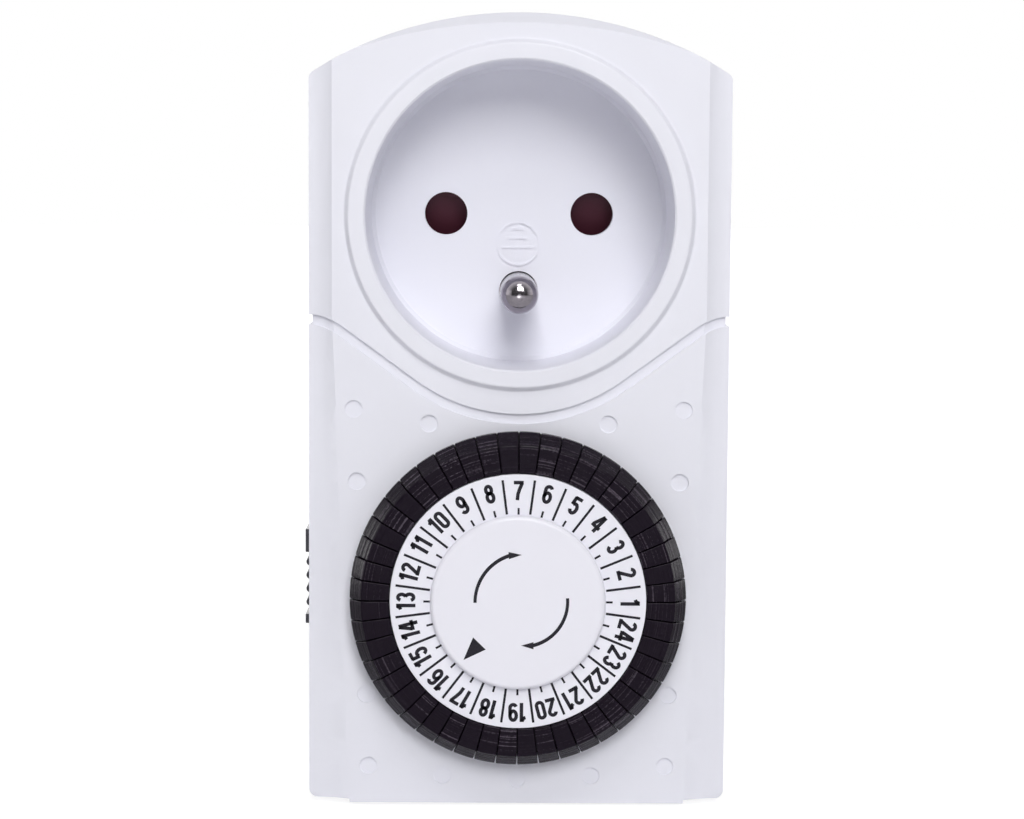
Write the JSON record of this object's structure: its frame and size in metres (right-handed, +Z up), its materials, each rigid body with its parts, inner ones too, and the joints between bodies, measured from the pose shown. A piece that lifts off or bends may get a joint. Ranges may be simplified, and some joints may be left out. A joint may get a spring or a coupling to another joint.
{
  "type": "plug in timer switch",
  "caption": "Plug-through mechanical timer: white arched body with an earthed socket recess above a 24-hour dial ringed by captive black tappets, a side override slide and a rear plug.",
  "frame": {"origin": "centre of the plug's face at the back, level with the line through its two pins", "axes": "+Y backwards into the wall, so the dial and the socket recess face -Y; +Z up; +X to the right as seen from the front"},
  "size_m": [0.0539, 0.073, 0.1001],
  "materials": {
    "white_housing": "satin",
    "dial_white_plastic": "satin",
    "ivory_plastic": "satin",
    "black_plastic": "satin",
    "grey_plastic": "satin",
    "maroon_plastic": "satin",
    "ferrite": "matte",
    "nickel_plate": "polished",
    "zinc_plated_steel": "satin",
    "spring_steel": "satin",
    "brass": "satin",
    "copper": "satin"
  },
  "bodies": {
    "housing": {"socket_cover": "white_housing", "dial_cover": "white_housing", "rear_cover": "white_housing", "cover_screws": "zinc_plated_steel", "shutter_spring": "spring_steel", "contact_carrier": "ivory_plastic", "contact_sleeves": "brass", "plug_pins": "nickel_plate", "front_earth_pin": "nickel_plate", "earth_bridge": "zinc_plated_steel", "rear_earth_sleeve": "brass", "line_bar": "copper", "switched_bar": "copper", "neutral_bar": "copper", "front_plate": "ivory_plastic", "back_plate": "ivory_plastic", "plate_pillars": "zinc_plated_steel", "gear_arbors": "spring_steel", "coil": "copper", "bobbin": "dial_white_plastic", "stator_cup": "zinc_plated_steel", "stator_plate": "zinc_plated_steel", "centre_cap": "dial_white_plastic"},
    "shutter": {"shutter": "maroon_plastic"},
    "rotor": {"rotor": "ferrite"},
    "gear_1": {"gear_1": "ivory_plastic"},
    "gear_2": {"gear_2": "ivory_plastic"},
    "gear_3": {"gear_3": "ivory_plastic"},
    "gear_4": {"gear_4": "ivory_plastic"},
    "clutch_wheel": {"clutch_wheel": "ivory_plastic"},
    "clutch_pinion": {"clutch_pinion": "brass"},
    "dial": {"dial_wheel": "dial_white_plastic", "number_ring": "dial_white_plastic"},
    "switch_lever": {"switch_lever": "black_plastic"},
    "moving_blade": {"moving_blade": "brass"},
    "override_slider": {"override_slider": "grey_plastic"},
    "tappets_01": {"tappets_01": "black_plastic"},
    "tappets_02": {"tappets_02": "black_plastic"},
    "tappets_03": {"tappets_03": "black_plastic"},
    "tappets_04": {"tappets_04": "black_plastic"},
    "tappets_05": {"tappets_05": "black_plastic"},
    "tappets_06": {"tappets_06": "black_plastic"},
    "tappets_07": {"tappets_07": "black_plastic"},
    "tappets_08": {"tappets_08": "black_plastic"},
    "tappets_09": {"tappets_09": "black_plastic"},
    "tappets_10": {"tappets_10": "black_plastic"},
    "tappets_11": {"tappets_11": "black_plastic"},
    "tappets_12": {"tappets_12": "black_plastic"},
    "tappets_13": {"tappets_13": "black_plastic"},
    "tappets_14": {"tappets_14": "black_plastic"},
    "tappets_15": {"tappets_15": "black_plastic"},
    "tappets_16": {"tappets_16": "black_plastic"},
    "tappets_17": {"tappets_17": "black_plastic"},
    "tappets_18": {"tappets_18": "black_plastic"},
    "tappets_19": {"tappets_19": "black_plastic"},
    "tappets_20": {"tappets_20": "black_plastic"},
    "tappets_21": {"tappets_21": "black_plastic"},
    "tappets_22": {"tappets_22": "black_plastic"},
    "tappets_23": {"tappets_23": "black_plastic"},
    "tappets_24": {"tappets_24": "black_plastic"}
  },
  "joints": [
    {"name": "shutter_slide", "type": "slide", "parent": "housing", "child": "shutter", "axis": [0, 0, 1], "range_m": [0, 0.0066], "stiffness_N_per_m": 40, "springref_m": -0.0025, "deforming": ["shutter_spring"]},
    {"name": "rotor_spin", "type": "hinge", "parent": "housing", "child": "rotor", "pos_m": [-0.00117, -0.034, -0.05648], "axis": [0, -1, 0], "continuous": true},
    {"name": "gear_1_spin", "type": "hinge", "parent": "housing", "child": "gear_1", "pos_m": [-0.00785, -0.036, -0.05046], "axis": [0, -1, 0], "continuous": true},
    {"name": "gear_2_spin", "type": "hinge", "parent": "housing", "child": "gear_2", "pos_m": [-0.00553, -0.037, -0.04176], "axis": [0, -1, 0], "continuous": true},
    {"name": "gear_3_spin", "type": "hinge", "parent": "housing", "child": "gear_3", "pos_m": [0.00373, -0.038, -0.03954], "axis": [0, -1, 0], "continuous": true},
    {"name": "gear_4_spin", "type": "hinge", "parent": "housing", "child": "gear_4", "pos_m": [0.01229, -0.039, -0.04371], "axis": [0, -1, 0], "continuous": true},
    {"name": "clutch_wheel_spin", "type": "hinge", "parent": "housing", "child": "clutch_wheel", "pos_m": [0.01143, -0.04, -0.0546], "axis": [0, -1, 0], "continuous": true},
    {"name": "dial_turn", "type": "hinge", "parent": "housing", "child": "dial", "pos_m": [0, -0.05, -0.048], "axis": [0, -1, 0], "continuous": true},
    {"name": "clutch_pinion_spin", "type": "hinge", "parent": "housing", "child": "clutch_pinion", "pos_m": [0.01143, -0.043, -0.0546], "axis": [0, -1, 0], "continuous": true},
    {"name": "lever_rock", "type": "hinge", "parent": "housing", "child": "switch_lever", "pos_m": [-0.0224, -0.041, -0.06087], "axis": [0, 0, 1], "range_deg": [0, 11], "stiffness_Nm_per_rad": 0.004, "springref_deg": -14.32},
    {"name": "blade_flex", "type": "hinge", "parent": "housing", "child": "moving_blade", "pos_m": [-0.01925, -0.0387, -0.04607], "axis": [1, 0, 0], "range_deg": [0, 2.25]},
    {"name": "override_slide", "type": "slide", "parent": "housing", "child": "override_slider", "axis": [0, 0, -1], "range_m": [0, 0.003]},
    {"name": "tappet_press_01", "type": "slide", "parent": "dial", "child": "tappets_01", "axis": [0, 1, 0], "range_m": [0, 0.0018]},
    {"name": "tappet_press_02", "type": "slide", "parent": "dial", "child": "tappets_02", "axis": [0, 1, 0], "range_m": [0, 0.0018]},
    {"name": "tappet_press_03", "type": "slide", "parent": "dial", "child": "tappets_03", "axis": [0, 1, 0], "range_m": [0, 0.0018]},
    {"name": "tappet_press_04", "type": "slide", "parent": "dial", "child": "tappets_04", "axis": [0, 1, 0], "range_m": [0, 0.0018]},
    {"name": "tappet_press_05", "type": "slide", "parent": "dial", "child": "tappets_05", "axis": [0, 1, 0], "range_m": [0, 0.0018]},
    {"name": "tappet_press_06", "type": "slide", "parent": "dial", "child": "tappets_06", "axis": [0, 1, 0], "range_m": [0, 0.0018]},
    {"name": "tappet_press_07", "type": "slide", "parent": "dial", "child": "tappets_07", "axis": [0, 1, 0], "range_m": [0, 0.0018]},
    {"name": "tappet_press_08", "type": "slide", "parent": "dial", "child": "tappets_08", "axis": [0, 1, 0], "range_m": [0, 0.0018]},
    {"name": "tappet_press_09", "type": "slide", "parent": "dial", "child": "tappets_09", "axis": [0, 1, 0], "range_m": [0, 0.0018]},
    {"name": "tappet_press_10", "type": "slide", "parent": "dial", "child": "tappets_10", "axis": [0, 1, 0], "range_m": [0, 0.0018]},
    {"name": "tappet_press_11", "type": "slide", "parent": "dial", "child": "tappets_11", "axis": [0, 1, 0], "range_m": [0, 0.0018]},
    {"name": "tappet_press_12", "type": "slide", "parent": "dial", "child": "tappets_12", "axis": [0, 1, 0], "range_m": [0, 0.0018]},
    {"name": "tappet_press_13", "type": "slide", "parent": "dial", "child": "tappets_13", "axis": [0, 1, 0], "range_m": [0, 0.0018]},
    {"name": "tappet_press_14", "type": "slide", "parent": "dial", "child": "tappets_14", "axis": [0, 1, 0], "range_m": [0, 0.0018]},
    {"name": "tappet_press_15", "type": "slide", "parent": "dial", "child": "tappets_15", "axis": [0, 1, 0], "range_m": [0, 0.0018]},
    {"name": "tappet_press_16", "type": "slide", "parent": "dial", "child": "tappets_16", "axis": [0, 1, 0], "range_m": [0, 0.0018]},
    {"name": "tappet_press_17", "type": "slide", "parent": "dial", "child": "tappets_17", "axis": [0, 1, 0], "range_m": [0, 0.0018]},
    {"name": "tappet_press_18", "type": "slide", "parent": "dial", "child": "tappets_18", "axis": [0, 1, 0], "range_m": [0, 0.0018]},
    {"name": "tappet_press_19", "type": "slide", "parent": "dial", "child": "tappets_19", "axis": [0, 1, 0], "range_m": [0, 0.0018]},
    {"name": "tappet_press_20", "type": "slide", "parent": "dial", "child": "tappets_20", "axis": [0, 1, 0], "range_m": [0, 0.0018]},
    {"name": "tappet_press_21", "type": "slide", "parent": "dial", "child": "tappets_21", "axis": [0, 1, 0], "range_m": [0, 0.0018]},
    {"name": "tappet_press_22", "type": "slide", "parent": "dial", "child": "tappets_22", "axis": [0, 1, 0], "range_m": [0, 0.0018]},
    {"name": "tappet_press_23", "type": "slide", "parent": "dial", "child": "tappets_23", "axis": [0, 1, 0], "range_m": [0, 0.0018]},
    {"name": "tappet_press_24", "type": "slide", "parent": "dial", "child": "tappets_24", "axis": [0, 1, 0], "range_m": [0, 0.0018]}
  ],
  "couplings": [
    {"joint": "gear_1_spin", "follows": "rotor_spin", "ratio": -0.125},
    {"joint": "gear_2_spin", "follows": "rotor_spin", "ratio": 0.015625},
    {"joint": "gear_3_spin", "follows": "rotor_spin", "ratio": -0.0020833},
    {"joint": "gear_4_spin", "follows": "rotor_spin", "ratio": 0.00027778},
    {"joint": "clutch_wheel_spin", "follows": "rotor_spin", "ratio": -0.000033333},
    {"joint": "clutch_pinion_spin", "follows": "dial_turn", "ratio": 12},
    {"joint": "blade_flex", "follows": "lever_rock", "ratio": 0.2034}
  ]
}
